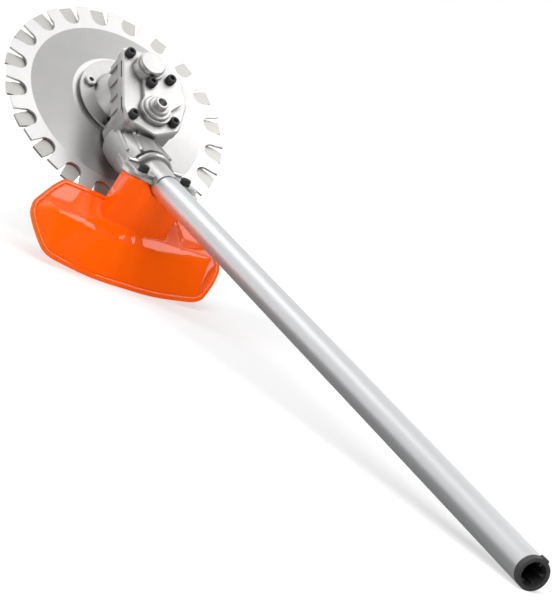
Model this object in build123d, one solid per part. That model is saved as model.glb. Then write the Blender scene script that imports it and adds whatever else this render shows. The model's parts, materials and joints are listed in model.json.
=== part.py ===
from build123d import *
from math import atan2, cos, degrees, pi, radians, sin, tan
import os

# A cutter head with two toothed blades that swing against each other, on a shaft tube that clamps to a
# power unit. Millimetres and degrees. Each piece is drawn in the cutter's frame: origin on the spindle
# axis at the top face of the upper blade's tooth ring, Z up the spindle, X away from the user. The whole
# head is then tipped over to rest on the floor by its guard and by the far end of the tube.

# Blades
blade_radius = 115.0
blade_thickness = 2.5
blade_gap = 0.6
tooth_count = 20
tooth_pitch = 360 / tooth_count
dish_height = 6.5
dish_outer_radius = 90.0
dish_inner_radius = 50.0
slot_round_radius = 8.8
slot_bottom_radius = 95.2
slot_mouth_half_width = 12.2
swing_angle = 4.5
upper_hole_radius = 12.5
lower_hole_radius = 6.5

# Shaft tube, which leans up from the blades' plane
shaft_angle = 35.67
shaft_foot_z = -26.45
tube_radius = 12.0
tube_wall = 1.6
tube_start = 140.0
seat_radius = 11.7
seat_end = 198.0
tube_end = 978.0
bush_end = 984.0
drive_shaft_radius = 4.0
drive_shaft_end = 966.0

# Crank and bevel gears; the cone centre is where the shaft axis meets the crank axis
crank_x = -47.0
cone_centre_z = shaft_foot_z - crank_x * tan(radians(shaft_angle))
cone_centre_s = -crank_x / cos(radians(shaft_angle))
pinion_teeth = 13
gear_teeth = 20
cone_distance = 27.0
tooth_face = 8.0
crank_throw = 1.2
eccentric_radius = 7.5
big_end_radius = 10.4
arm_pin_x = -11.0
arm_pin_y = 12.5
arm_pin_radius = 2.5

# Levels along the spindle
carrier_low = dish_height
carrier_high = 9.0
base_low = 7.4
foot_low = 9.8
foot_high = 11.6
case_low = 30.0
flange_low = 46.0
split_low = 50.4
split_high = 51.0
deck_z = 57.0
plateau_z = 62.0
outer_arm_low = 33.6
outer_arm_high = 37.8
upper_rod_low = 38.2
upper_rod_high = 41.8
lower_rod_low = 43.2
lower_rod_high = 46.8
inner_arm_low = 47.2
inner_arm_high = 51.2

# Fits
running_clearance = 0.05
seat_clearance = 0.02

cover_screw_places = [(14.0, 17.5), (-58.0, 15.5), (-52.0, -26.5)]
plate_screw_places = [(-18.0, -1.5), (-7.0, -21.5)]
screw_head_room = 5.3
base_screw_angles = [154.0, 206.0, 284.0]
base_screw_circle = 39.0
nipple_angle = 76.0
nipple_circle = 35.6
fitting_x = -46.0
fitting_y = -7.0
clamp_screw_s = 180.0
clamp_screw_y = 21.0

shaft_plane = Plane(
    origin=(0, 0, shaft_foot_z),
    x_dir=(sin(radians(shaft_angle)), 0, cos(radians(shaft_angle))),
    z_dir=(-cos(radians(shaft_angle)), 0, sin(radians(shaft_angle))),
)


def disc(radius, low, high, x=0.0, y=0.0):
    return Pos(x, y, (low + high) / 2) * Cylinder(radius, high - low)


def ring(outer, inner, low, high, x=0.0, y=0.0):
    return disc(outer, low, high, x, y) - disc(inner, low - 1, high + 1, x, y)


def block(x_low, x_high, y_low, y_high, z_low, z_high):
    centre = Pos((x_low + x_high) / 2, (y_low + y_high) / 2, (z_low + z_high) / 2)
    return centre * Box(x_high - x_low, y_high - y_low, z_high - z_low)


def cone(low_radius, high_radius, low, high):
    return Pos(0, 0, (low + high) / 2) * Cone(low_radius, high_radius, high - low)


def polygon(points):
    return make_face(Polyline(*points, close=True))


def prism(face, low, high):
    return Pos(0, 0, low) * extrude(face, amount=high - low)


def turned(points):
    return revolve(Plane.XZ * polygon(points), Axis.Z)


def polar(shape, count, first=0.0):
    return [Rot(0, 0, first + 360 * index / count) * shape for index in range(count)]


def socket_screw(head_radius, head_height, shank_radius, length):
    """A socket head screw standing on the XY plane, its shank below."""
    socket = prism(RegularPolygon(head_radius * 0.58, 6), head_height * 0.45, head_height + 1)
    head = fillet(disc(head_radius, 0, head_height).edges().group_by(Axis.Z)[-1], head_radius * 0.16)
    return head - socket + disc(shank_radius, -length, 0)


def ball_bearing(inner, outer, low, high):
    """Two races and a circle of balls, each its own solid."""
    race = (outer - inner) * 0.28
    ball_circle = (outer + inner) / 2
    ball_radius = (outer - inner) / 2 - race - 0.05
    ball = Pos(ball_circle, 0, (low + high) / 2) * Sphere(ball_radius)
    count = int(2 * pi * ball_circle / (ball_radius * 2.6))
    return [ring(outer, outer - race, low, high), ring(inner + race, inner, low, high)] + polar(ball, count)


def bevel_gear(teeth, cone_angle, bore, back, phase):
    """A straight bevel gear on the Z axis, its cone centre at the origin."""
    along = (sin(radians(cone_angle)), cos(radians(cone_angle)))
    across = (along[1], -along[0])
    pitch = 2 * pi * cone_distance * along[0] / teeth
    inner_scale = 1 - tooth_face / cone_distance
    addendum = 0.21 * pitch
    dedendum = 0.33 * pitch

    def place(scale, height):
        return tuple(scale * (cone_distance * a + height * n) for a, n in zip(along, across))

    outer_root = place(1, -dedendum)
    inner_root = place(inner_scale, -dedendum)
    body = turned([
        (bore, inner_root[1]),
        inner_root,
        outer_root,
        (outer_root[0] - 1, outer_root[1] + 2),
        (outer_root[0] * 0.7, outer_root[1] + back),
        (bore, outer_root[1] + back),
    ])

    def tooth_end(scale):
        centre = place(scale, 0)
        plane = Plane(origin=(centre[0], 0, centre[1]), x_dir=(across[0], 0, across[1]),
                      z_dir=(along[0], 0, along[1]))
        low, high = -(dedendum + 0.25) * scale, addendum * scale
        wide, narrow = 0.27 * pitch * scale, 0.12 * pitch * scale
        return plane * polygon([(low, -wide), (high, -narrow), (high, narrow), (low, wide)])

    tooth = loft([tooth_end(inner_scale), tooth_end(1)], ruled=True)
    return body + polar(tooth, teeth, phase)


def on_shaft(shape):
    return shaft_plane.location * shape


def shaft_disc(radius, low, high):
    return on_shaft(disc(radius, low, high))


# Blades and spindles

def blade(top, hole, first_tooth):
    low = top - blade_thickness
    disc_body = turned([
        (hole, low + dish_height),
        (hole, top + dish_height),
        (dish_inner_radius, top + dish_height),
        (dish_outer_radius, top),
        (blade_radius, top),
        (blade_radius, low),
        (dish_outer_radius, low),
        (dish_inner_radius, low + dish_height),
    ])
    round_centre = slot_bottom_radius + slot_round_radius
    mouth = blade_radius + 3
    flare = polygon([
        (round_centre, -slot_round_radius),
        (mouth, -slot_mouth_half_width),
        (mouth, slot_mouth_half_width),
        (round_centre, slot_round_radius),
    ])
    outline = Pos(round_centre, 0) * Circle(slot_round_radius) + flare
    slot = prism(outline, low - 1, top + 1)
    return disc_body - polar(slot, tooth_count, first_tooth + tooth_pitch / 2)


def upper_blade():
    holes = polar(disc(2.5, 0, 10, 18.0), 6)
    return blade(0.0, upper_hole_radius, 0.3) - holes


def lower_blade():
    return blade(-blade_thickness - blade_gap, lower_hole_radius, 0.3 + tooth_pitch / 2)


def outer_spindle():
    carrier = ring(24.0, 8.0, carrier_low, carrier_high) - polar(disc(2.5, 0, 10, 18.0), 6)
    return carrier + ring(10.0, 8.0, carrier_low, outer_arm_high)


def blade_rivets():
    return polar(disc(2.5, dish_height - blade_thickness, carrier_high, 18.0), 6)


def spindle_bushes():
    return [ring(8.0, 6.5 + running_clearance, low, low + 7) for low in (8.0, 28.0)]


def arm(side, hub_bore, hub_radius, low, high):
    """A rocker arm from a spindle out to its pin; side is +1 on the left and -1 on the right."""
    reach = (arm_pin_x, side * arm_pin_y)
    length = (reach[0] ** 2 + reach[1] ** 2) ** 0.5
    bar = block(0, length, -4.5, 4.5, low, high)
    body = Rot(0, 0, degrees(atan2(reach[1], reach[0]))) * bar
    body += disc(hub_radius, low, high) + disc(5.2, low, high, *reach)
    return body - disc(hub_bore, low - 1, high + 1) - disc(arm_pin_radius, low - 1, high + 1, *reach)


def outer_spindle_arm():
    return arm(1, 10.0, 13.5, outer_arm_low, outer_arm_high)


def upper_blade_pin():
    return disc(arm_pin_radius, outer_arm_low, upper_rod_high, arm_pin_x, arm_pin_y)


def inner_spindle():
    collar = disc(11.0, 3.4, 6.2)
    return disc(6.5, -11.0, 58.0) + collar


def inner_spindle_arm():
    return arm(-1, 6.5, 10.5, inner_arm_low, inner_arm_high)


def lower_blade_pin():
    return disc(arm_pin_radius, lower_rod_low, inner_arm_high, arm_pin_x, -arm_pin_y)


def thrust_washer():
    low = dish_height - 2 * blade_thickness - blade_gap
    return ring(20.0, 6.5, low - 2.5, low)


def blade_nut():
    high = dish_height - 2 * blade_thickness - blade_gap - 5.0
    nut = prism(RegularPolygon(11.0, 6), high - 6.0, high)
    return chamfer(nut.edges().group_by(Axis.Z)[0], 0.8) - disc(6.5, high - 7, high + 1)


def rider_cup():
    """The shallow cup between washer and nut that the cutter slides on."""
    high = dish_height - 2 * blade_thickness - blade_gap - 2.5
    return turned([
        (6.5, high),
        (24.0, high),
        (36.0, high - 4.0),
        (36.0, high - 6.0),
        (33.0, high - 6.0),
        (22.5, high - 2.5),
        (6.5, high - 2.5),
    ])


# Crank drive

def connecting_rod(side, low, high):
    """From a big end round the crank axis to a small end on an arm pin."""
    reach = (arm_pin_x - crank_x, side * arm_pin_y)
    length = (reach[0] ** 2 + reach[1] ** 2) ** 0.5
    bar = Pos(crank_x, 0, 0) * Rot(0, 0, degrees(atan2(reach[1], reach[0]))) * block(
        0, length, -3.2, 3.2, low, high)
    body = bar + disc(12.4, low, high, crank_x) + disc(4.9, low, high, arm_pin_x, side * arm_pin_y)
    body -= disc(big_end_radius, low - 1, high + 1, crank_x)
    return body - disc(arm_pin_radius + running_clearance, low - 1, high + 1, arm_pin_x, side * arm_pin_y)


def crank_shaft():
    body = disc(4.0, 12.4, 20.0) + disc(6.0, 20.0, upper_rod_low - 0.2)
    body += disc(eccentric_radius, upper_rod_low - 0.2, upper_rod_high + 0.3, 0, crank_throw)
    body += disc(6.0, upper_rod_high + 0.3, lower_rod_low - 0.3)
    body += disc(eccentric_radius, lower_rod_low - 0.3, lower_rod_high + 0.2, 0, -crank_throw)
    return Pos(crank_x, 0, 0) * (body + disc(5.0, lower_rod_high + 0.2, 57.0))


def shaft_angle_from_crank():
    return 90 - shaft_angle


def gear_cone_angle():
    between = radians(shaft_angle_from_crank())
    return degrees(atan2(sin(between), pinion_teeth / gear_teeth + cos(between)))


def bevel_ring_gear():
    gear = bevel_gear(gear_teeth, gear_cone_angle(), 6.0, 6.0, 0)
    return Pos(crank_x, 0, cone_centre_z) * gear


def bevel_pinion():
    cone_angle = shaft_angle_from_crank() - gear_cone_angle()
    gear = bevel_gear(pinion_teeth, cone_angle, 0.01, 5.0, 180 / pinion_teeth)
    blank = disc(2.0, 17.5, 20.0)
    stem = disc(7.5, 30.0, 74.0) + ring(6.0, drive_shaft_radius, 74.0, 80.0)
    return on_shaft(Pos(0, 0, cone_centre_s) * (gear + blank + stem))


def drive_shaft():
    shaft = disc(drive_shaft_radius, cone_centre_s + 74.2, drive_shaft_end - 12)
    spline_key = block(-0.9, 0.9, 3.0, 4.0, drive_shaft_end - 14, drive_shaft_end)
    end = disc(3.2, drive_shaft_end - 12, drive_shaft_end)
    return on_shaft(shaft + end + polar(spline_key, 6))


def pinion_bearings():
    lows = (cone_centre_s + 40.0, cone_centre_s + 60.0)
    return [on_shaft(piece) for low in lows for piece in ball_bearing(7.5 + running_clearance, 13.0, low, low + 8)]


def crank_bearings():
    lower = ball_bearing(4.0 + running_clearance, 9.0, 13.0, 19.0)
    upper = ball_bearing(5.0 + running_clearance, 10.0, 51.6, 57.0)
    return [Pos(crank_x, 0, 0) * piece for piece in lower + upper]


def spindle_bearings():
    pieces = ball_bearing(10.0 + running_clearance, 16.0, 14.0, 21.0)
    pieces += ball_bearing(10.0 + running_clearance, 16.0, 25.0, 32.0)
    return pieces + ball_bearing(6.5 + running_clearance, 11.0, 52.0, 58.0)


def spindle_seal():
    return ring(15.0, 10.0 + running_clearance, 11.0, 13.5)


# Castings

def case_outline(inset):
    """The plan of case and cover; the right side bulges further out than the left."""
    corners = [(22, 24), (-50, 25), (-65, 20), (-73, -8), (-59, -33), (-25, -42), (4, -36), (22, -16)]
    face = polygon(corners)
    face = fillet(face.vertices(), 6.5)
    return offset(face, amount=-inset) if inset else face


def case_cavity():
    """The room for gears, crank, rods and arms, and the seats of the bearings below the split."""
    hollow = prism(case_outline(4.0), 33.0, split_low + 1)
    hollow += disc(17.8, 20.0, 34.0, crank_x)
    hollow += disc(9.0, 13.0, 21.0, crank_x) + disc(4.6, 12.0, 14.0, crank_x)
    hollow += shaft_disc(13.4, cone_centre_s + 13.0, cone_centre_s + 38.0)
    hollow += shaft_disc(13.0, cone_centre_s + 37.0, cone_centre_s + 71.0)
    hollow += disc(16.0, 13.5, 34.0) + disc(15.0, 11.0, 14.0) + disc(12.0, 9.0, 12.0)
    hollow += shaft_disc(8.5, cone_centre_s + 70.0, tube_start + 1)
    return hollow + shaft_disc(seat_radius + seat_clearance, tube_start, 200.0)


def clamp_plate():
    """The two ears of the lower clamp half, in the shaft's frame."""
    right = [(148, -27), (163, -39), (177, -37), (191, -14)]
    left = [(191, 14), (177, 32), (163, 34), (148, 27)]
    outline = polygon(right + left)
    outline = fillet(outline.vertices(), 5.0)
    lying = Plane(origin=(0, 0, 0), x_dir=(0, 0, 1), z_dir=(1, 0, 0))
    face = lying * outline.mirror(Plane.XZ)
    return Pos(-1.6, 0, 0) * extrude(face, amount=3.6, dir=(1, 0, 0))


def neck_rib(first_angle, first_radius, first_s, last_angle, last_radius, last_s):
    """A cast rib along the neck, given by its crest's angle round the shaft and its radius at both ends."""
    def section(angle, radius, s):
        return Pos(0, 0, s) * Rot(0, 0, angle) * Pos(radius - 4.0, 0) * Rectangle(8.0, 2.8)

    return loft([section(first_angle, first_radius, first_s), section(last_angle, last_radius, last_s)], ruled=True)


def clamp_gusset(side):
    """The web that carries an ear of the clamp, in the shaft's frame."""
    outline = [(100, side * 15), (118, side * 23), (150, side * 28), (150, side * 10)]
    lying = Plane(origin=(-5, 0, 0), x_dir=(0, 0, 1), z_dir=(1, 0, 0))
    face = lying * polygon([(s, -y) for s, y in outline])
    return extrude(face, amount=5.0, dir=(1, 0, 0))


def case_side_ribs():
    """Short upright ribs under the flange, on the case's straight left side."""
    return [block(x, x + 2.6, 21.0, 24.6, case_low + 1, flange_low + 1) for x in (-44.0, -27.0, -10.0, 7.0)]


def gear_case():
    foot = disc(44.5, foot_low, foot_high) + cone(30.0, 23.0, foot_high, 25.0) + disc(23.0, 24.0, case_low + 1)
    box = prism(case_outline(1.6), case_low, flange_low + 0.1) + prism(case_outline(0), flange_low, split_low)
    belly = disc(21.0, foot_low, case_low + 1, crank_x)
    neck = on_shaft(cone(23.0, 19.5, 75.0, 150.0)) & block(-200, 50, -60, 60, foot_low, 200)
    clamp = on_shaft(disc(16.0, 148.0, 184.0) & block(-30, 2, -30, 30, 140, 200))
    ears = on_shaft(clamp_plate())
    body = foot + box + belly + neck + clamp + ears + case_side_ribs()
    body += Rot(0, 0, base_screw_angles[0]) * block(22.0, 33.5, -2.0, 2.0, foot_high - 1, 24.0)
    for side in (1, -1):
        body += on_shaft(neck_rib(side * 18, 25.0, 78.0, side * 45, 22.5, 149.0))
        body += on_shaft(neck_rib(side * 49, 24.5, 78.0, side * 68, 22.0, 126.0))
        body += on_shaft(clamp_gusset(side))
    body -= on_shaft(block(2, 60, -50, 50, 144.5, 200))
    body -= case_cavity()
    body -= block(-76, 60, -60, 60, split_low, 90)
    for x, y in cover_screw_places:
        body += disc(5.2, 36.0, split_low, x, y) & prism(case_outline(1.0), 30, 60)
        body -= disc(3.0, 40, 70, x, y)
    for angle in base_screw_angles:
        body -= Rot(0, 0, angle) * disc(2.5, 0, 30, base_screw_circle)
        body -= Rot(0, 0, angle) * disc(4.7, foot_high, 26, base_screw_circle)
    for side in (1, -1):
        body -= on_shaft(Pos(0, side * clamp_screw_y, clamp_screw_s) * Rot(0, 90, 0) * Cylinder(3.0, 60))
    body -= Rot(0, 0, nipple_angle) * disc(3.0, 8, foot_high, nipple_circle)
    return body - Rot(0, 0, nipple_angle) * disc(5.8, foot_high, 30, nipple_circle)


def cover_gasket():
    gasket = prism(case_outline(0.3), split_low, split_high) - prism(case_outline(4.0), 50, 52)
    for x, y in cover_screw_places:
        lug = disc(5.2, split_low, split_high, x, y) & prism(case_outline(1.0), 50, 52)
        gasket = gasket + lug - disc(3.0, 50, 52, x, y)
    return gasket


def gear_cover():
    deck = prism(case_outline(0), split_high, deck_z)
    body = chamfer(deck.edges().group_by(Axis.Z)[-1], 1.2)
    body -= prism(case_outline(4.0), 50, 53.5)
    for x_low, x_high in ((-57.0, -37.0), (-14.0, 6.0)):
        body -= block(x_low, x_high, 22.9, 30.0, 52.2, 54.6)
    body += disc(13.5, inner_arm_high + 0.4, 54) + disc(12.5, inner_arm_high + 0.4, 54, crank_x)
    body -= disc(11.0, 50, 60) + disc(10.0, 50, 60, crank_x)
    for x, y in cover_screw_places:
        body += disc(5.2, split_high, 54, x, y) & prism(case_outline(1.0), 50, 60)
        body -= disc(3.0, 50, 60, x, y)
    for x, y in plate_screw_places:
        body -= disc(2.5, 50, 60, x, y)
    return body


def top_plate():
    """The raised plate over the bearings, with the spindle collar and the fitting's round boss."""
    waist = [(14, 9), (-6, 6), (-34, 5), (-46, 9), (-56, -8), (-42, -22), (-30, -34), (-4, -33), (14, -14)]
    body = prism(fillet(polygon(waist).vertices(), 4.0), deck_z, plateau_z)
    body += disc(14.5, deck_z, plateau_z + 4.0) + disc(15.5, deck_z, plateau_z, fitting_x, fitting_y)
    body -= disc(11.0, 50, 58.0) + disc(7.2, 50, 62.0)
    for x, y in plate_screw_places:
        body -= disc(3.0, 50, 70, x, y) + disc(screw_head_room, plateau_z, 90, x, y)
    for x, y in cover_screw_places:
        body -= disc(screw_head_room, deck_z, 90, x, y)
    return body


def cover_screws():
    screw = socket_screw(5.0, 5.6, 3.0, 16.5)
    return [Pos(x, y, deck_z) * Rot(0, 0, 17 * x) * screw for x, y in cover_screw_places]


def plate_screws():
    long_shank = socket_screw(5.0, 5.6, 2.5, plateau_z - 53.5)
    screw = long_shank + disc(3.0, deck_z - plateau_z, 0)
    return [Pos(x, y, plateau_z) * Rot(0, 0, 23 * x) * screw for x, y in plate_screw_places]


def spindle_cap():
    low = plateau_z + 4.0
    cap = disc(12.6, low, low + 5.0)
    return chamfer(cap.edges().group_by(Axis.Z)[-1], 1.0)


def grease_fitting():
    """A stepped boss with a hollow stub on top, screwed into the cover."""
    low = plateau_z
    profile = [
        (0.0, low), (13.2, low), (13.2, low + 2.2), (12.4, low + 3.0), (9.8, low + 3.0), (9.8, low + 5.2),
        (9.0, low + 6.0), (6.6, low + 6.0), (6.6, low + 10.6), (5.9, low + 11.4), (4.4, low + 11.4),
        (4.4, low + 1.2), (0.0, low + 1.2),
    ]
    return Pos(fitting_x, fitting_y, 0) * turned(profile)


def base_plate():
    plate = ring(42.5, 26.0, base_low, foot_low)
    for angle in base_screw_angles:
        plate -= Rot(0, 0, angle) * disc(2.5, 0, 30, base_screw_circle)
    return plate - Rot(0, 0, nipple_angle) * disc(3.0, 0, 30, nipple_circle)


def base_screws():
    screw = socket_screw(4.3, 4.8, 2.5, foot_high - base_low)
    return [Rot(0, 0, angle) * Pos(base_screw_circle, 0, foot_high) * screw for angle in base_screw_angles]


def flange_nipple():
    profile = [
        (0.0, base_low + 1), (3.0, base_low + 1), (3.0, foot_high), (5.6, foot_high), (5.6, foot_high + 2.4),
        (4.8, foot_high + 3.4), (2.4, foot_high + 3.4), (2.4, foot_high + 0.5), (0.0, foot_high + 0.5),
    ]
    return Rot(0, 0, nipple_angle) * Pos(nipple_circle, 0, 0) * turned(profile)


def clamp_strap():
    """The upper clamp half: a saddle that tapers onto the tube, with a rib and two ears."""
    saddle = Pos(0, 0, 173.0) * Cone(15.2, 12.8, 48.0)
    rib_face = Circle(19.0) + Rectangle(17.0, 56.0)
    rib = prism(fillet(rib_face.vertices().filter_by(lambda v: abs(v.Y) < 25), 4.0), 149.0, 155.0)
    rib = chamfer(rib.edges().group_by(Axis.Z)[-1], 1.6)
    upper = (saddle + rib) & block(2.0, 40, -40, 40, 140, 200)
    ears = block(2.0, 5.0, -32.0, 28.0, 150.0, 187.0)
    ears = fillet(ears.edges().filter_by(Axis.X).group_by(Axis.Z)[-1], 7.0)
    body = upper + ears - disc(seat_radius + seat_clearance, 140, 200)
    for side in (1, -1):
        body -= Pos(0, side * clamp_screw_y, clamp_screw_s) * Rot(0, 90, 0) * Cylinder(3.0, 60)
        body -= Pos(15, side * clamp_screw_y, clamp_screw_s) * Rot(0, 90, 0) * Cylinder(5.6, 20)
    return on_shaft(body)


def clamp_screws():
    screw = socket_screw(5.0, 6.0, 3.0, 11.0)
    return [
        on_shaft(Pos(5.0, side * clamp_screw_y, clamp_screw_s) * Rot(0, 90, 0) * screw) for side in (1, -1)
    ]


# Shaft tube

def tube():
    """The tube, turned down a little where the clamp holds it."""
    free = ring(tube_radius, tube_radius - tube_wall, seat_end, tube_end)
    return on_shaft(free + ring(seat_radius, tube_radius - tube_wall, tube_start, seat_end))


def tube_end_bush():
    """The ribbed plastic bush in the tube's free end, with a locating notch in its rim."""
    inner = tube_radius - tube_wall - seat_clearance
    sleeve = ring(inner, inner - 2.2, tube_end - 26.0, bush_end)
    rim = ring(tube_radius, inner - 2.2, tube_end, bush_end)
    web = disc(inner - 1, tube_end - 26.0, tube_end - 22.0) - disc(5.2, 900, 990)
    rib = block(6.2, inner - 1.0, -0.8, 0.8, tube_end - 26.0, bush_end - 3.0)
    notch = Rot(0, 0, -38) * block(tube_radius - 1.6, tube_radius + 3, -1.0, 1.0, tube_end + 2.0, bush_end + 1)
    return on_shaft(sleeve + rim + web + polar(rib, 6, 30) - notch)


def shaft_bushes():
    outer = tube_radius - tube_wall - seat_clearance
    return [
        on_shaft(ring(outer, drive_shaft_radius + running_clearance, low, low + 24)) for low in (250, 470, 690)
    ]


# Guard

rim_tilt = 11.3
rim_plane = Plane(
    origin=(-212, 0, 2),
    x_dir=(cos(radians(rim_tilt)), 0, sin(radians(rim_tilt))),
    z_dir=(-sin(radians(rim_tilt)), 0, cos(radians(rim_tilt))),
)
guard_wall = 2.6
guard_height = 17.0


def mirrored(half):
    return half + [(x, -y) for x, y in reversed(half)]


def guard_rim(grow):
    half = [(0, 30), (5, 60), (7, 74), (12, 81), (33, 92.5), (46, 97), (58, 95), (79, 77.7), (89, 67), (87, 44), (84, 22)]
    face = polygon(mirrored(half))
    return offset(face, amount=grow, kind=Kind.INTERSECTION) if grow else face


def guard_crown(grow):
    half = [(42, 26), (43, 52), (44, 66), (46, 74), (49, 79), (54, 80), (58, 77), (66, 66), (72, 56), (74, 40), (74, 24)]
    face = polygon(mirrored(half))
    return offset(face, amount=grow, kind=Kind.INTERSECTION) if grow else face


def guard_lobes(wall):
    """The dished body of the guard, drawn in from its outer face by the wall."""
    low = guard_rim(-4.0 - wall)
    high = Pos(0, 0, guard_height - wall) * guard_crown(-0.4 * wall)
    return rim_plane.location * loft([low, high], ruled=True)


def guard_neck(wall):
    """The riser from the dished body up to the clamp."""
    foot = Pos(-148 + wall / 2, 0, 14.0) * Rectangle(40 - wall, 64 - 2 * wall)
    top_plane = shaft_plane.location * Pos(-1.6 - 1.4 * wall, 0, 170) * Rot(0, 90, 0)
    head = top_plane * Rectangle(34 - wall, 62 - 2 * wall)
    riser = loft([foot, head], ruled=True)
    return chamfer(riser.edges().filter_by(lambda e: e.length > 50), 8.0 - wall)


def guard():
    flange = rim_plane.location * prism(guard_rim(0), 0, 2.4)
    body = guard_lobes(0) + flange + guard_neck(0)
    body -= guard_lobes(guard_wall) + guard_neck(guard_wall)
    body -= rim_plane.location * prism(guard_rim(-4.0 - guard_wall), -10, 1)
    body -= shaft_disc(16.4, 150, 184.5) + shaft_disc(tube_radius + 0.5, 184, 230) + shaft_disc(20.5, 100, 151)
    for side in (1, -1):
        hole = Pos(-8, side * clamp_screw_y, clamp_screw_s) * Rot(0, 90, 0) * Cylinder(3.0, 14)
        body -= on_shaft(hole)
    return body


pieces = {
    "tube": tube(),
    "tube_end_bush": tube_end_bush(),
    "shaft_bushes": shaft_bushes(),
    "gear_case": gear_case(),
    "cover_gasket": cover_gasket(),
    "gear_cover": gear_cover(),
    "cover_screws": cover_screws(),
    "top_plate": top_plate(),
    "plate_screws": plate_screws(),
    "spindle_cap": spindle_cap(),
    "grease_fitting": grease_fitting(),
    "base_plate": base_plate(),
    "base_screws": base_screws(),
    "flange_nipple": flange_nipple(),
    "clamp_strap": clamp_strap(),
    "clamp_screws": clamp_screws(),
    "guard": guard(),
    "pinion_bearings": pinion_bearings(),
    "crank_bearings": crank_bearings(),
    "spindle_bearings": spindle_bearings(),
    "spindle_seal": spindle_seal(),
    "drive_shaft": drive_shaft(),
    "bevel_pinion": bevel_pinion(),
    "crank_shaft": crank_shaft(),
    "bevel_ring_gear": bevel_ring_gear(),
    "outer_spindle": outer_spindle(),
    "outer_spindle_arm": outer_spindle_arm(),
    "upper_blade_pin": upper_blade_pin(),
    "spindle_bushes": spindle_bushes(),
    "upper_blade": upper_blade(),
    "blade_rivets": blade_rivets(),
    "inner_spindle": inner_spindle(),
    "inner_spindle_arm": inner_spindle_arm(),
    "lower_blade_pin": lower_blade_pin(),
    "lower_blade": lower_blade(),
    "thrust_washer": thrust_washer(),
    "rider_cup": rider_cup(),
    "blade_nut": blade_nut(),
    "upper_blade_rod": connecting_rod(1, upper_rod_low, upper_rod_high),
    "lower_blade_rod": connecting_rod(-1, lower_rod_low, lower_rod_high),
}


def resting_place():
    """Tips the cutter's frame so that the guard's rear edge and the tube's end share one floor."""
    sine, cosine = sin(radians(shaft_angle)), cos(radians(shaft_angle))
    tube_x = -bush_end * cosine - tube_radius * sine
    tube_z = shaft_foot_z + bush_end * sine - tube_radius * cosine
    lean = degrees(atan2(tube_z - rim_plane.origin.Z, rim_plane.origin.X - tube_x))
    return Rot(0, -lean, 0)


def solids_of(piece):
    parts = piece if isinstance(piece, list) else [piece]
    return [solid for part in parts for solid in part.solids()]


tipped = {name: [resting_place() * solid for solid in solids_of(piece)] for name, piece in pieces.items()}
extent = Compound([solid for solids in tipped.values() for solid in solids]).bounding_box()
to_origin = Pos(-extent.center().X, -extent.center().Y, -extent.min.Z)

os.makedirs("parts", exist_ok=True)
for name, solids in tipped.items():
    export_step(Compound([to_origin * solid for solid in solids]), f"parts/{name}.step")
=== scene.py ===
import bpy
import json
from math import cos, exp, hypot, log, pi, radians, sin
from mathutils import Matrix, Quaternion, Vector

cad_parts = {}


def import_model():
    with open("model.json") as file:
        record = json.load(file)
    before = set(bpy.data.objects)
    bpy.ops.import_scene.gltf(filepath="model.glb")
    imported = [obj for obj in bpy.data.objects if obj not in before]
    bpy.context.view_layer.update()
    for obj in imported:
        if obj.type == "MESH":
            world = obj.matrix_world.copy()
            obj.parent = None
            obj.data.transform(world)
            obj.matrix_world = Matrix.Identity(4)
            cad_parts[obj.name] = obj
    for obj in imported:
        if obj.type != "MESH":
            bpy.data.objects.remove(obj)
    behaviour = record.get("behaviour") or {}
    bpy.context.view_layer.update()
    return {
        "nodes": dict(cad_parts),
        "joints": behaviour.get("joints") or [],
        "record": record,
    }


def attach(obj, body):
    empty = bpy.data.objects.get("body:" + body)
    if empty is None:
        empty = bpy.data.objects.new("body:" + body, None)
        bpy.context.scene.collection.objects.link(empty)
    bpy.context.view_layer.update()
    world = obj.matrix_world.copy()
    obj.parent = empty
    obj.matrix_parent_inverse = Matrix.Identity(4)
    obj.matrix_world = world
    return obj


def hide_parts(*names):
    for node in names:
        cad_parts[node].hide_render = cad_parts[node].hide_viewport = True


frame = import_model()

MM = 0.001
JOINTS = {joint["name"]: joint for joint in frame["joints"]}
MOUNTS = {mount["name"]: mount for mount in frame["record"]["mounts"]}


def axes_matrix(origin, z_axis):
    """A frame whose Z is z_axis, whose Y is the world's Y and whose X follows."""
    z = Vector(z_axis).normalized()
    y = Vector((0, 1, 0))
    x = y.cross(z)
    matrix = Matrix((x, y, z)).transposed().to_4x4()
    matrix.translation = origin
    return matrix


# The cutter's frame: origin on the spindle axis at the upper blade's tooth ring, Z up the spindle, X forward
SPINDLE_JOINT_HEIGHT = 10 * MM
spindle = JOINTS["upper_blade_swing"]
spindle_axis = Vector(spindle["axis"]).normalized()
CUTTER = axes_matrix(Vector(spindle["pos_m"]) - spindle_axis * SPINDLE_JOINT_HEIGHT, spindle_axis)

# The shaft's frame: Z along the tube from where its axis meets the spindle's, X up, Y left
tube_axis = Vector(MOUNTS["tube_end"]["axis"]).normalized()
tube_point = Vector(MOUNTS["tube_end"]["pos_m"])
to_cutter = CUTTER.inverted()
distance_to_spindle = (to_cutter @ tube_point).x / (to_cutter.to_3x3() @ tube_axis).x
SHAFT = axes_matrix(tube_point - tube_axis * distance_to_spindle, tube_axis)

# The guard's frame: its rim lies in the XY plane, with X forward from the middle of its rear edge
RIM_ORIGIN = Vector((-212, 0, 2)) * MM
RIM_TILT = radians(11.3)
RIM = CUTTER @ Matrix.Translation(RIM_ORIGIN) @ Matrix.Rotation(-RIM_TILT, 4, "Y")


# Materials

# The Mix node has its inputs A and B and its result once for each kind of value; these are the colour ones
MIX_COLOUR_A, MIX_COLOUR_B, MIX_COLOUR_RESULT = 6, 7, 2


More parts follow.
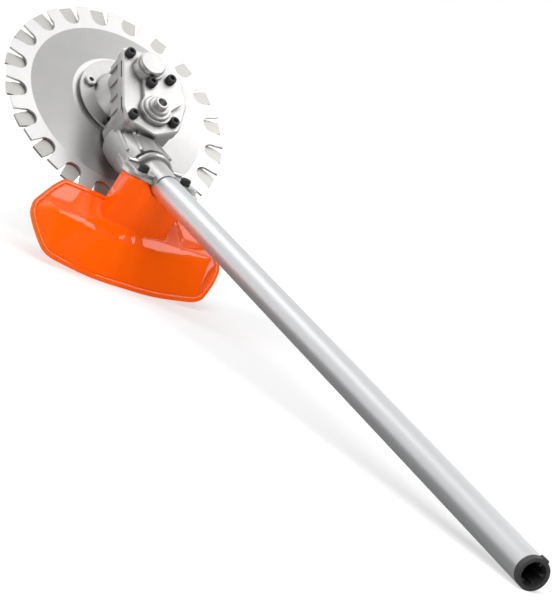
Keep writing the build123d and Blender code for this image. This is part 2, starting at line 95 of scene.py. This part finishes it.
class Surface:
    """A Principled material whose detail is worked out from the object's own coordinates in metres."""

    def __init__(self, name, colour, roughness, metallic=0.0, frame_matrix=None):
        self.material = bpy.data.materials.new(name)
        self.material.use_nodes = True
        self.tree = self.material.node_tree
        self.shader = self.tree.nodes["Principled BSDF"]
        self.shader.inputs["Metallic"].default_value = metallic
        self.colour = self.constant_colour(colour)
        self.roughness = roughness
        self.place = self.node("ShaderNodeTexCoord").outputs["Object"]
        if frame_matrix is not None:
            self.place = self.in_frame(frame_matrix)
        self.normal = None

    def node(self, kind, **settings):
        made = self.tree.nodes.new(kind)
        for key, value in settings.items():
            setattr(made, key, value)
        return made

    def feed(self, socket, value):
        if isinstance(value, bpy.types.NodeSocket):
            self.tree.links.new(value, socket)
        else:
            socket.default_value = value

    def constant_colour(self, colour):
        made = self.node("ShaderNodeRGB")
        made.outputs[0].default_value = (*colour, 1)
        return made.outputs[0]

    def in_frame(self, matrix):
        """The coordinates as seen from the frame that the matrix places."""
        mapping = self.node("ShaderNodeMapping", vector_type="TEXTURE")
        self.feed(mapping.inputs["Vector"], self.place)
        mapping.inputs["Location"].default_value = matrix.to_translation()
        mapping.inputs["Rotation"].default_value = matrix.to_euler()
        return mapping.outputs[0]

    def math(self, operation, first, second=0.0, third=0.0):
        made = self.node("ShaderNodeMath", operation=operation)
        self.feed(made.inputs[0], first)
        self.feed(made.inputs[1], second)
        self.feed(made.inputs[2], third)
        return made.outputs[0]

    def scaled(self, factors):
        """The coordinates stretched along each axis."""
        made = self.node("ShaderNodeVectorMath", operation="MULTIPLY")
        self.feed(made.inputs[0], self.place)
        made.inputs[1].default_value = factors
        return made.outputs[0]

    def noise(self, scale, detail=3.0, place=None):
        made = self.node("ShaderNodeTexNoise")
        self.feed(made.inputs["Vector"], place or self.place)
        made.inputs["Scale"].default_value = scale
        made.inputs["Detail"].default_value = detail
        return made.outputs["Fac"]

    def ramp(self, value, low, high, out_low=0.0, out_high=1.0):
        made = self.node("ShaderNodeMapRange", clamp=True)
        self.feed(made.inputs["Value"], value)
        self.feed(made.inputs["From Min"], low)
        self.feed(made.inputs["From Max"], high)
        self.feed(made.inputs["To Min"], out_low)
        self.feed(made.inputs["To Max"], out_high)
        return made.outputs["Result"]

    def tint(self, mask, colour, strength=1.0):
        """Mixes another colour in where the mask is high."""
        made = self.node("ShaderNodeMix", data_type="RGBA")
        self.feed(made.inputs["Factor"], self.math("MULTIPLY", mask, strength))
        self.feed(made.inputs[MIX_COLOUR_A], self.colour)
        self.feed(made.inputs[MIX_COLOUR_B], (*colour, 1))
        self.colour = made.outputs[MIX_COLOUR_RESULT]

    def roughen(self, mask, amount):
        """Makes the surface rougher where the mask is high."""
        self.roughness = self.math("MULTIPLY_ADD", mask, amount, self.roughness)

    def bump(self, height, distance):
        """Raises the shading by the distance where the height is 1, on top of any bump before it."""
        made = self.node("ShaderNodeBump")
        made.inputs["Distance"].default_value = distance
        self.feed(made.inputs["Height"], height)
        if self.normal is not None:
            self.feed(made.inputs["Normal"], self.normal)
        self.normal = made.outputs[0]

    def edges(self, radius):
        """High where the surface turns sharply within the radius."""
        bevel = self.node("ShaderNodeBevel", samples=4)
        bevel.inputs["Radius"].default_value = radius
        flat = self.node("ShaderNodeNewGeometry").outputs["Normal"]
        dot = self.node("ShaderNodeVectorMath", operation="DOT_PRODUCT")
        self.feed(dot.inputs[0], bevel.outputs[0])
        self.feed(dot.inputs[1], flat)
        return self.ramp(dot.outputs["Value"], 0.9, 0.992, 1.0, 0.0)

    def soften(self, radius):
        """Rounds the edges in the shading, as a casting's or moulding's own small radii do."""
        bevel = self.node("ShaderNodeBevel", samples=4)
        bevel.inputs["Radius"].default_value = radius
        self.normal = bevel.outputs[0]

    def shaded_recesses(self, distance):
        """High in corners and recesses, where shade falls; the materials use it to paint shade there."""
        made = self.node("ShaderNodeAmbientOcclusion", samples=8)
        made.inputs["Distance"].default_value = distance
        return self.ramp(made.outputs["AO"], 0.25, 0.85, 1.0, 0.0)

    def radius_and_angle(self):
        """Distance from the frame's Z axis and the angle round it."""
        parts = self.node("ShaderNodeSeparateXYZ")
        self.feed(parts.inputs[0], self.place)
        x, y = parts.outputs["X"], parts.outputs["Y"]
        radius = self.math("SQRT", self.math("MULTIPLY_ADD", x, x, self.math("MULTIPLY", y, y)))
        return radius, self.math("ARCTAN2", y, x)

    def combined(self, x, y=0.0):
        made = self.node("ShaderNodeCombineXYZ")
        self.feed(made.inputs["X"], x)
        self.feed(made.inputs["Y"], y)
        return made.outputs[0]

    def done(self):
        self.feed(self.shader.inputs["Base Color"], self.colour)
        self.feed(self.shader.inputs["Roughness"], self.roughness)
        if self.normal is not None:
            self.feed(self.shader.inputs["Normal"], self.normal)
        return self.material


def cast_aluminium(name, colour):
    """Die-cast and bead-blasted: fine grain, slight flow mottling, brighter rubbed edges, and painted shade
    darkening the recesses.
    """
    s = Surface(name, colour, 0.34, 1.0)
    s.soften(0.0009)
    s.bump(s.noise(2600, 4), 0.00006)
    s.tint(s.ramp(s.noise(70, 4), 0.35, 0.7), [0.86 * c for c in colour], 0.6)
    # Painted shade: the recesses are darkened where ambient occlusion finds them.
    s.tint(s.shaded_recesses(0.006), (0.12, 0.115, 0.11), 0.85)
    s.tint(s.edges(0.0012), (0.95, 0.94, 0.93), 0.6)
    s.roughen(s.noise(400, 3), 0.12)
    return s.done()


def drawn_aluminium():
    """Drawn tube with fine lines along its length and a soft anodised sheen."""
    s = Surface("tube_aluminium", (0.76, 0.77, 0.78), 0.36, 1.0, SHAFT)
    lines = s.noise(1.0, 5, s.scaled((2600, 2600, 14)))
    s.bump(lines, 0.000012)
    s.roughen(lines, 0.14)
    s.tint(s.ramp(s.noise(1.0, 3, s.scaled((90, 90, 5))), 0.4, 0.7), (0.72, 0.73, 0.75), 0.5)
    s.tint(s.ramp(s.noise(1.0, 6, s.scaled((1500, 1500, 30))), 0.62, 0.7), (0.9, 0.9, 0.9), 0.35)
    return s.done()


def turned_metal(name, colour, roughness, matrix=None):
    """Turned or plated metal with fine concentric tool marks and painted shade in its recesses."""
    s = Surface(name, colour, roughness, 1.0, matrix)
    s.soften(0.0004)
    radius, _ = s.radius_and_angle()
    marks = s.noise(1.0, 2, s.combined(s.math("MULTIPLY", radius, 5200)))
    s.bump(marks, 0.00001)
    s.roughen(marks, 0.1)
    s.tint(s.ramp(s.noise(160, 4), 0.4, 0.7), [0.85 * c for c in colour], 0.5)
    # Painted shade: the recesses are darkened where ambient occlusion finds them.
    s.tint(s.shaded_recesses(0.005), (0.2, 0.19, 0.18), 0.6)
    s.tint(s.edges(0.0005), (0.95, 0.95, 0.94), 0.5)
    return s.done()


def blade_steel(name, colour):
    """Ground disc: fine circular grinding, painted shade darkening the dished web, and brighter tooth edges.
    """
    s = Surface(name, colour, 0.36, 1.0, CUTTER)
    s.soften(0.0003)
    radius, angle = s.radius_and_angle()
    arcs = s.combined(s.math("MULTIPLY", radius, 3600), s.math("MULTIPLY", angle, 4))
    grinding = s.noise(1.0, 4, arcs)
    s.bump(grinding, 0.000012)
    s.roughen(grinding, 0.1)
    past_hub = s.ramp(radius, 0.0498, 0.0503)
    inside_teeth = s.ramp(radius, 0.0897, 0.0902, 1.0, 0.0)
    web = s.math("MULTIPLY", past_hub, inside_teeth)
    # Painted shade: the dished web between the hub and the tooth ring is darkened in colour.
    s.tint(web, [0.68 * c for c in colour], 0.9)
    s.tint(s.ramp(s.noise(60, 4), 0.4, 0.75), [0.88 * c for c in colour], 0.2)
    s.tint(s.edges(0.0005), (0.97, 0.96, 0.95), 0.6)
    return s.done()


def black_oxide():
    """Blackened screw steel with greyer rubbed edges."""
    s = Surface("black_screws", (0.018, 0.018, 0.02), 0.3)
    s.shader.inputs["Specular IOR Level"].default_value = 0.6
    s.soften(0.00025)
    s.roughen(s.noise(1500, 3), 0.2)
    s.bump(s.noise(4000, 2), 0.00001)
    s.tint(s.edges(0.0003), (0.16, 0.16, 0.17), 0.5)
    return s.done()


def moulded_plastic(name, colour, roughness):
    """Plain moulded plastic with a spark-eroded grain."""
    s = Surface(name, colour, roughness)
    s.soften(0.0004)
    s.bump(s.noise(3000, 3), 0.00002)
    s.roughen(s.noise(500, 3), 0.15)
    s.tint(s.edges(0.0004), [min(1.0, 3 * c) for c in colour], 0.4)
    s.tint(s.ramp(s.noise(120, 3), 0.4, 0.7), [0.7 * c for c in colour], 0.5)
    return s.done()


def orange_guard():
    """Glossy injection-moulded orange, a little mottled, with lighter worn edges."""
    s = Surface("orange_plastic", (0.96, 0.112, 0.0), 0.25)
    s.shader.inputs["Specular IOR Level"].default_value = 0.0
    s.shader.inputs["Coat Weight"].default_value = 1.0
    s.shader.inputs["Coat Roughness"].default_value = 0.06
    s.shader.inputs["Coat IOR"].default_value = 1.4
    s.bump(s.noise(45, 2), 0.00012)
    s.bump(s.noise(1800, 3), 0.000005)
    s.roughen(s.noise(300, 4), 0.1)
    s.tint(s.ramp(s.noise(14, 3), 0.35, 0.7), (0.9, 0.08, 0.0), 0.5)
    s.tint(s.edges(0.0008), (1.0, 0.22, 0.02), 0.3)
    return s.done()


MATERIALS = {
    "tube_aluminium": drawn_aluminium(),
    "casting": cast_aluminium("casting", (0.78, 0.77, 0.76)),
    "cover_casting": cast_aluminium("cover_casting", (0.86, 0.85, 0.84)),
    "machined_aluminium": turned_metal("machined_aluminium", (0.84, 0.83, 0.82), 0.3, CUTTER),
    "plated_steel": turned_metal("plated_steel", (0.78, 0.78, 0.77), 0.26, CUTTER),
    "blade_steel": blade_steel("blade_steel", (0.92, 0.91, 0.905)),
    "lower_blade_steel": blade_steel("lower_blade_steel", (0.64, 0.63, 0.6)),
    "inner_steel": turned_metal("inner_steel", (0.55, 0.55, 0.56), 0.32, CUTTER),
    "bronze": turned_metal("bronze", (0.72, 0.53, 0.3), 0.32, CUTTER),
    "black_screws": black_oxide(),
    "black_plastic": moulded_plastic("black_plastic", (0.03, 0.03, 0.031), 0.42),
    "seal_rubber": moulded_plastic("seal_rubber", (0.02, 0.02, 0.02), 0.6),
    "gasket": moulded_plastic("gasket", (0.14, 0.14, 0.14), 0.7),
    "orange_plastic": orange_guard(),
}


def paint_cad_nodes():
    for part in frame["record"]["subparts"]:
        node = frame["nodes"][part["node"]]
        node.data.materials.clear()
        node.data.materials.append(MATERIALS[part["material_slot"]])


paint_cad_nodes()


# Pieces

CREASE_ANGLE = radians(38)


def add_piece(name, vertices, faces, slot, node):
    """A smooth mesh piece of the housing that stands for a CAD node."""
    mesh = bpy.data.meshes.new(name)
    mesh.from_pydata([tuple(v) for v in vertices], [], faces)
    mesh.polygons.foreach_set("use_smooth", [True] * len(mesh.polygons))
    mesh.materials.append(MATERIALS[slot])
    piece = bpy.data.objects.new(name, mesh)
    bpy.context.scene.collection.objects.link(piece)
    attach(piece, "housing")
    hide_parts(node)
    return piece


def keep_creases(piece):
    """Keeps the sharp edges of a turned or moulded piece sharp in the shading."""
    creases = piece.modifiers.new("creases", "EDGE_SPLIT")
    creases.split_angle = CREASE_ANGLE


def bridge(loops):
    """Quads between closed loops of the same number of points."""
    count = len(loops[0])
    faces = []
    for row in range(len(loops) - 1):
        for k in range(count):
            here, following = row * count, (row + 1) * count
            faces.append((here + k, here + (k + 1) % count, following + (k + 1) % count, following + k))
    return [point for loop in loops for point in loop], faces


def blended(first, second, share):
    """The point a share of the way from the first to the second."""
    return tuple(a + (b - a) * share for a, b in zip(first, second))


def spaced(points, count):
    """Points at equal steps along a polyline, without its last one."""
    lengths = [hypot(*(b - a for a, b in zip(p, q))) for p, q in zip(points, points[1:])]
    step = sum(lengths) / count
    made = []
    for k in range(count):
        left, leg = k * step, 0
        while left > lengths[leg]:
            left -= lengths[leg]
            leg += 1
        made.append(blended(points[leg], points[leg + 1], left / lengths[leg]))
    return made


REAR_STEPS, SIDE_STEPS, FRONT_STEPS = 26, 46, 20


def symmetric_loop(rear, side, front):
    """A closed loop from its left half, mirrored to the right."""
    half = spaced(rear, REAR_STEPS) + spaced(side, SIDE_STEPS) + spaced(front, FRONT_STEPS) + [front[-1]]
    other = [(x, -y, *rest) for x, y, *rest in reversed(half[1:-1])]
    return half + other


def smoothed(loop, passes):
    """A closed loop with each point drawn half way towards the middle of its neighbours, a few times over."""
    for _ in range(passes):
        following = loop[1:] + loop[:1]
        before = loop[-1:] + loop[:-1]
        loop = [blended(here, blended(a, b, 0.5), 0.5) for here, a, b in zip(loop, before, following)]
    return loop


def drawn_in(loop, distance):
    """A plan loop moved inwards along its normals."""
    made = []
    for k, (x, y) in enumerate(loop):
        before, after = loop[k - 1], loop[(k + 1) % len(loop)]
        along = Vector((after[0] - before[0], after[1] - before[1])).normalized()
        made.append((x + along.y * distance, y - along.x * distance))
    return made


def soft_least(softness, *heights):
    """The least of the heights, rounded over where two of them meet."""
    return -softness * log(sum(exp(-h / softness) for h in heights))


def soft_most(softness, *heights):
    """The greatest of the heights, rounded in where two of them meet."""
    return softness * log(sum(exp(h / softness) for h in heights))


def guard_height(x, y):
    """The guard's outer face above its rim plane, in millimetres: a lobe on each side of the neck, with a
    ridge along it, a flat pad at each front corner and a lower wing beside the neck."""
    out = abs(y)

    def face(start, steepness, point, inward, border=0.0):
        """A flat face that rises inwards, from its start height at the border's width inside the point."""
        return start + steepness * (inward[0] * (x - point[0]) + inward[1] * (out - point[1]) - border)

    rear = 2.2 + 0.5 * (x - 6.2 - 0.167 * max(0.0, out - 30))
    side = face(2.4, 1.3, (12, 81), (0.4255, -0.904), 6)
    corner = face(2.4, 1.3, (58, 95), (-0.67, -0.742), 5.5)
    band = face(2.8, 0.9, (65, 0), (-1, 0))
    front = face(2.8, 0.42, (80.6, 0), (-1, 0))
    flank = face(2.8, 0.9, (81.9, 46.7), (-0.483, -0.877))
    ridge = 16.8
    lobe = soft_least(0.6, rear, side, corner, band, ridge)
    wing = soft_least(0.6, rear, front, flank, ridge - 0.6)
    fold = 1.0 * exp(-((y / 7) ** 2))
    return max(2.2, soft_most(0.7, lobe, wing, 2.3) - fold)


# The guard's outline and the neck's foot: the left half of each, in the guard's frame, in millimetres
RIM_REAR = [(0, 0), (0, 16), (0.6, 31), (2.5, 46), (5, 60), (7.5, 73), (12, 81)]
RIM_SIDE = [
    (12, 81), (22, 87), (33, 92.5), (46, 97), (58, 95), (69, 86), (79, 77.7), (89, 67), (88, 55), (87, 44),
]
RIM_FRONT = [(87, 44), (85.5, 33), (84.5, 24), (84, 12), (84, 0)]
NECK_REAR = [(50, 0), (50.3, 10), (51, 22), (52.5, 29.5)]
NECK_SIDE = [(52.5, 29.5), (54, 32), (58, 33.5), (68, 33), (71.5, 30)]
NECK_FRONT = [(71.5, 30), (73, 24), (73.5, 12), (73.5, 0)]

# The neck's top edge under the clamp, in the shaft's frame, with a trough for the tube
TOP_REAR = [
    (-13.2, 0, 186.5), (-11, 7.5, 186.5), (-6, 12, 186.5),
    (-1.9, 15, 186.5), (-1.9, 22, 186), (-1.9, 28.5, 185),
]
TOP_SIDE = [(-1.9, 28.5, 185), (-1.9, 31, 181), (-1.9, 32.3, 172), (-1.9, 32, 163), (-1.9, 29.5, 156)]
TOP_FRONT = [
    (-1.9, 29.5, 156), (-1.9, 26, 152.5), (-1.9, 16.5, 151.5),
    (-8, 14.6, 151.5), (-14, 9, 151.5), (-16.8, 0, 151.5),
]
TOP_MIDDLE = (-1.9, 0, 169)

# The border's section, from its lower edge over to the groove inside it: inset from the outline and height
BORDER = ((0.1, 0.15), (0.0, 1.4), (0.1, 2.6), (0.6, 3.1), (4.2, 3.3), (4.5, 3.1), (4.7, 1.9))

# The body inside the border: its inset, its rows of faces, the fillet's width and its corner's lift at the
# neck's foot, and the wall
BODY_INSET = 5.2
BODY_ROWS = 34
FOOT_FILLET = 3.2
CORNER_LIFT = 0.3
WALL = 2.6


def guard():
    """The orange guard: a raised border, the dished lobes and the neck, as one skin with its wall inside."""
    rim = smoothed(symmetric_loop(RIM_REAR, RIM_SIDE, RIM_FRONT), 2)
    foot = smoothed(symmetric_loop(NECK_REAR, NECK_SIDE, NECK_FRONT), 1)
    shaft_to_rim = RIM.inverted() @ SHAFT
    top = [shaft_to_rim @ (Vector(p) * MM) / MM for p in symmetric_loop(TOP_REAR, TOP_SIDE, TOP_FRONT)]
    middle = shaft_to_rim @ (Vector(TOP_MIDDLE) * MM) / MM

    def between(first, second, share):
        return [blended(a, b, share) for a, b in zip(first, second)]

    loops = [[(x, y, height) for x, y in drawn_in(rim, inset)] for inset, height in BORDER]
    outer, inner = drawn_in(rim, BODY_INSET), drawn_in(foot, -FOOT_FILLET)
    for row in range(BODY_ROWS + 1):
        plan = between(outer, inner, row / BODY_ROWS)
        loops.append([(x, y, guard_height(x, y)) for x, y in plan])

    shoulder = loops[-1]
    corner = [(x, y, guard_height(x, y) + CORNER_LIFT) for x, y in foot]
    rise = between(corner, top, 0.07)
    for share in (0.2, 0.4, 0.6, 0.8, 1.0):
        loops.append(between(between(shoulder, corner, share), between(corner, rise, share), share))
    for share in (0.12, 0.25, 0.4, 0.55, 0.7, 0.85, 1.0):
        loops.append(between(rise, top, share))
    for share in (0.05, 0.16):
        loops.append([blended(p, middle, share) for p in top])

    vertices, faces = bridge([[RIM @ (Vector(p) * MM) for p in reversed(loop)] for loop in loops])
    piece = add_piece("guard_shell", vertices, faces, "orange_plastic", "guard")
    wall = piece.modifiers.new("wall", "SOLIDIFY")
    wall.thickness = WALL * MM
    wall.offset = -1.0
    rounding = piece.modifiers.new("rounding", "SUBSURF")
    rounding.levels = 1
    rounding.render_levels = 1


def islands(node):
    """The separate solids of a CAD node, each as a list of points."""
    mesh = frame["nodes"][node].data
    keys = [tuple(round(c, 5) for c in v.co) for v in mesh.vertices]
    parent = {key: key for key in keys}

    def root(key):
        while parent[key] != key:
            parent[key] = parent[parent[key]]
            key = parent[key]
        return key

    for polygon in mesh.polygons:
        corners = [root(keys[i]) for i in polygon.vertices]
        for other in corners[1:]:
            parent[root(other)] = root(corners[0])
    groups = {}
    for key in parent:
        groups.setdefault(root(key), []).append(Vector(key))
    return list(groups.values())


# Round pieces are made of this many steps, each of this angle
ROUND_STEPS = 96
ROUND_TURN = 2 * pi / ROUND_STEPS

# Each screw of a group is turned on by this from the one before, so that their sockets don't line up
SCREW_TURN = 0.7


def ring_loop(radii, z):
    """A closed loop round the Z axis with one radius for each step."""
    return [(r * cos(k * ROUND_TURN), r * sin(k * ROUND_TURN), z) for k, r in enumerate(radii)]


def screw_loops(head_radius, head_height, shank_radius, length):
    """A socket head screw on the Z axis, its head standing on the XY plane: fluted side, hexagonal socket."""

    def circle(radius, z, flute=0.0):
        return ring_loop([radius - flute * (k % 4 in (2, 3)) for k in range(ROUND_STEPS)], z)

    def hexagon(half_width, z):
        side = pi / 3
        angles = [(k * ROUND_TURN) % side - side / 2 for k in range(ROUND_STEPS)]
        return ring_loop([half_width / cos(angle) for angle in angles], z)

    socket = head_radius * 0.5
    return [
        circle(0.01, -length), circle(shank_radius, -length), circle(shank_radius, 0.05),
        circle(head_radius - 0.35, 0.05), circle(head_radius, 0.45, 0.3),
        circle(head_radius, head_height - 0.9, 0.3), circle(head_radius - 0.25, head_height - 0.6),
        circle(head_radius - 0.8, head_height),
        hexagon(socket + 0.15, head_height), hexagon(socket, head_height - 0.2),
        hexagon(socket, head_height * 0.4), circle(0.01, head_height * 0.35),
    ]


def socket_screws(node, frame_matrix, head_radius, head_height, shank_radius, length, along_x=False):
    """Detailed screws in the places of a CAD node's; their heads point along the frame's Z, or its X."""
    vertices, faces = [], []
    to_frame = frame_matrix.inverted()
    stand = Matrix.Rotation(pi / 2, 4, "Y") if along_x else Matrix.Identity(4)
    for number, points in enumerate(islands(node)):
        local = [stand.inverted() @ to_frame @ p for p in points]
        low = Vector([min(p[i] for p in local) for i in range(3)])
        high = Vector([max(p[i] for p in local) for i in range(3)])
        seat = Vector(((low.x + high.x) / 2, (low.y + high.y) / 2, high.z - head_height * MM))
        place = frame_matrix @ stand @ Matrix.Translation(seat) @ Matrix.Rotation(SCREW_TURN * number, 4, "Z")
        loops = screw_loops(head_radius, head_height, shank_radius, length)
        made, quads = bridge([[place @ (Vector(p) * MM) for p in loop] for loop in loops])
        faces += [tuple(i + len(vertices) for i in quad) for quad in quads]
        vertices += made
    keep_creases(add_piece(node + "_detailed", vertices, faces, "black_screws", node))


def end_bush():
    """The bush in the tube's open end: a thin rim with a small ear on it, and six ribs inside."""
    ear = range(ROUND_STEPS - 8, ROUND_STEPS - 2)
    ear_height, rib_height = 1.4, 2.6
    plug, rim, bore, hub = 10.3, 12.0, 9.1, 5.2

    def circle(radius, s, with_ear=False, with_ribs=False):
        radii = []
        for k in range(ROUND_STEPS):
            on_ear = with_ear and k in ear
            on_rib = with_ribs and k % 16 in (7, 8, 9)
            radii.append(radius + ear_height * on_ear - rib_height * on_rib)
        return [SHAFT @ (Vector(p) * MM) for p in ring_loop(radii, s)]

    vertices, faces = bridge([
        circle(plug, 954.0), circle(plug, 977.9),
        circle(rim, 978.0, with_ear=True), circle(rim, 983.3, with_ear=True),
        circle(rim - 0.5, 983.9, with_ear=True), circle(bore + 0.5, 983.9),
        circle(bore, 983.5), circle(bore, 980.5),
        circle(bore, 980.0, with_ribs=True), circle(bore, 956.0, with_ribs=True),
        circle(hub, 956.0), circle(hub, 954.0), circle(plug, 954.0),
    ])
    keep_creases(add_piece("tube_end_bush_detailed", vertices, faces, "black_plastic", "tube_end_bush"))


guard()
end_bush()

# The screws' head radius, head height, shank radius and length, in millimetres
socket_screws("cover_screws", CUTTER, 4.7, 5.6, 2.9, 16.0)
socket_screws("plate_screws", CUTTER, 4.7, 5.6, 2.4, 8.0)
socket_screws("base_screws", CUTTER, 4.3, 4.8, 2.4, 4.0)
socket_screws("clamp_screws", SHAFT, 4.7, 6.0, 2.9, 10.5, along_x=True)


# Stage

def floor():
    """A pale floor whose own glow grows far from the object, so that it has no horizon; near the object its
    reflections carry painted shade, darker than it looks from the camera."""
    mesh = bpy.data.meshes.new("floor")
    far = 12.0
    corners = [(-far, -far, 0), (far, -far, 0), (far, far, 0), (-far, far, 0)]
    mesh.from_pydata(corners, [], [(0, 1, 2, 3)])
    plane = bpy.data.objects.new("floor", mesh)
    bpy.context.scene.collection.objects.link(plane)
    s = Surface("floor", (0.5, 0.5, 0.5), 0.9)
    s.tint(s.noise(0.6), (0.49, 0.49, 0.49), 0.5)
    radius, _ = s.radius_and_angle()
    path = s.node("ShaderNodeLightPath")
    near = s.ramp(radius, 0.5, 0.9, 1.0, 0.0)
    # Painted shade: near the object, the floor is darker and glows less in glossy reflections than to the
    # camera.
    reflected_shade_near = s.math("MULTIPLY", path.outputs["Is Glossy Ray"], near)
    s.tint(reflected_shade_near, (0.12, 0.12, 0.12))
    growing = s.ramp(radius, 0.42, 0.95, 0.48, 0.9)
    glow = s.math("MULTIPLY", growing, s.ramp(reflected_shade_near, 0.0, 1.0, 1.0, 0.2))
    s.shader.inputs["Emission Color"].default_value = (1, 1, 1, 1)
    s.shader.inputs["Specular IOR Level"].default_value = 0.0
    s.feed(s.shader.inputs["Emission Strength"], glow)
    mesh.materials.append(s.done())


AHEAD_AND_UP = (0.93, 0.1, 0.35)


def world():
    """White where the camera looks past the object; as light, brighter ahead of the object than behind it."""
    made = bpy.data.worlds.new("studio")
    bpy.context.scene.world = made
    made.use_nodes = True
    nodes, links = made.node_tree.nodes, made.node_tree.links
    background = nodes["Background"]
    background.inputs["Color"].default_value = (1, 1, 1, 1)
    place = nodes.new("ShaderNodeTexCoord")
    ahead = nodes.new("ShaderNodeVectorMath")
    ahead.operation = "DOT_PRODUCT"
    ahead.inputs[1].default_value = AHEAD_AND_UP
    links.new(place.outputs["Generated"], ahead.inputs[0])
    ambient = nodes.new("ShaderNodeMapRange")
    ambient.inputs["From Min"].default_value = -0.5
    ambient.inputs["From Max"].default_value = 0.9
    ambient.inputs["To Min"].default_value = 0.08
    ambient.inputs["To Max"].default_value = 0.9
    links.new(ahead.outputs["Value"], ambient.inputs["Value"])
    path = nodes.new("ShaderNodeLightPath")
    seen = nodes.new("ShaderNodeMix")
    seen.inputs["B"].default_value = 1.0
    links.new(path.outputs["Is Camera Ray"], seen.inputs["Factor"])
    links.new(ambient.outputs["Result"], seen.inputs["A"])
    links.new(seen.outputs["Result"], background.inputs["Strength"])


def camera():
    """A long lens from behind the tube's open end and to its left, rolled to the side."""
    data = bpy.data.cameras.new("camera")
    data.lens = 179.1
    data.sensor_width = 36.0
    data.clip_end = 100.0
    made = bpy.data.objects.new("camera", data)
    bpy.context.scene.collection.objects.link(made)
    azimuth, elevation, roll = radians(-26.289), radians(-6.457), radians(20.779)
    aim, distance = Vector((-0.02802, 0.0, 0.07018)), 2.39486
    look = Vector((cos(elevation) * cos(azimuth), cos(elevation) * sin(azimuth), sin(elevation)))
    made.location = aim - look * distance
    made.rotation_mode = "QUATERNION"
    made.rotation_quaternion = look.to_track_quat("-Z", "Y") @ Quaternion((0, 0, 1), roll)
    bpy.context.scene.camera = made


# The cutting head's middle, which the lights face
HEAD = Vector((0.43, 0.0, 0.15))

# Each light: its direction from the head, distance, width and height, brightness, and whether glossy surfaces
# mirror it; those that aren't mirrored light the plastic and the floor instead
SOFTBOXES = {
    "overhead": ((0.02, -0.47, 0.88), 2.3, (0.95, 0.85), 0.82, True),
    "ceiling": ((-0.25, 0.05, 0.97), 2.3, (1.4, 1.0), 0.35, True),
    "right": ((0.2, -0.64, 0.74), 2.3, (0.6, 0.5), 3.4, True),
    "strip": ((-0.37, -0.38, 0.85), 2.3, (0.6, 0.56), 5.5, True),
    "back": ((0.85, 0.12, 0.51), 2.5, (0.9, 0.5), 3.2, True),
    "key": ((-0.75, 0.3, 0.6), 2.4, (1.6, 1.6), 5.5, False),
    "side": ((0.5, 0.6, 0.7), 2.5, (0.6, 0.6), 16.0, False),
}


def softbox(name, direction, distance, size, radiance, mirrored):
    """A rectangular light that faces the head."""
    data = bpy.data.lights.new(name, "AREA")
    data.shape = "RECTANGLE"
    data.size, data.size_y = size
    data.energy = radiance * pi * size[0] * size[1]
    lamp = bpy.data.objects.new(name, data)
    bpy.context.scene.collection.objects.link(lamp)
    away = Vector(direction).normalized()
    lamp.location = HEAD + away * distance
    lamp.rotation_mode = "QUATERNION"
    lamp.rotation_quaternion = (-away).to_track_quat("-Z", "Y")
    lamp.visible_camera = False
    lamp.visible_glossy = mirrored
    lamp.visible_diffuse = not mirrored


floor()
world()
for name, settings in SOFTBOXES.items():
    softbox(name, *settings)
camera()
bpy.context.scene.view_settings.view_transform = "Standard"
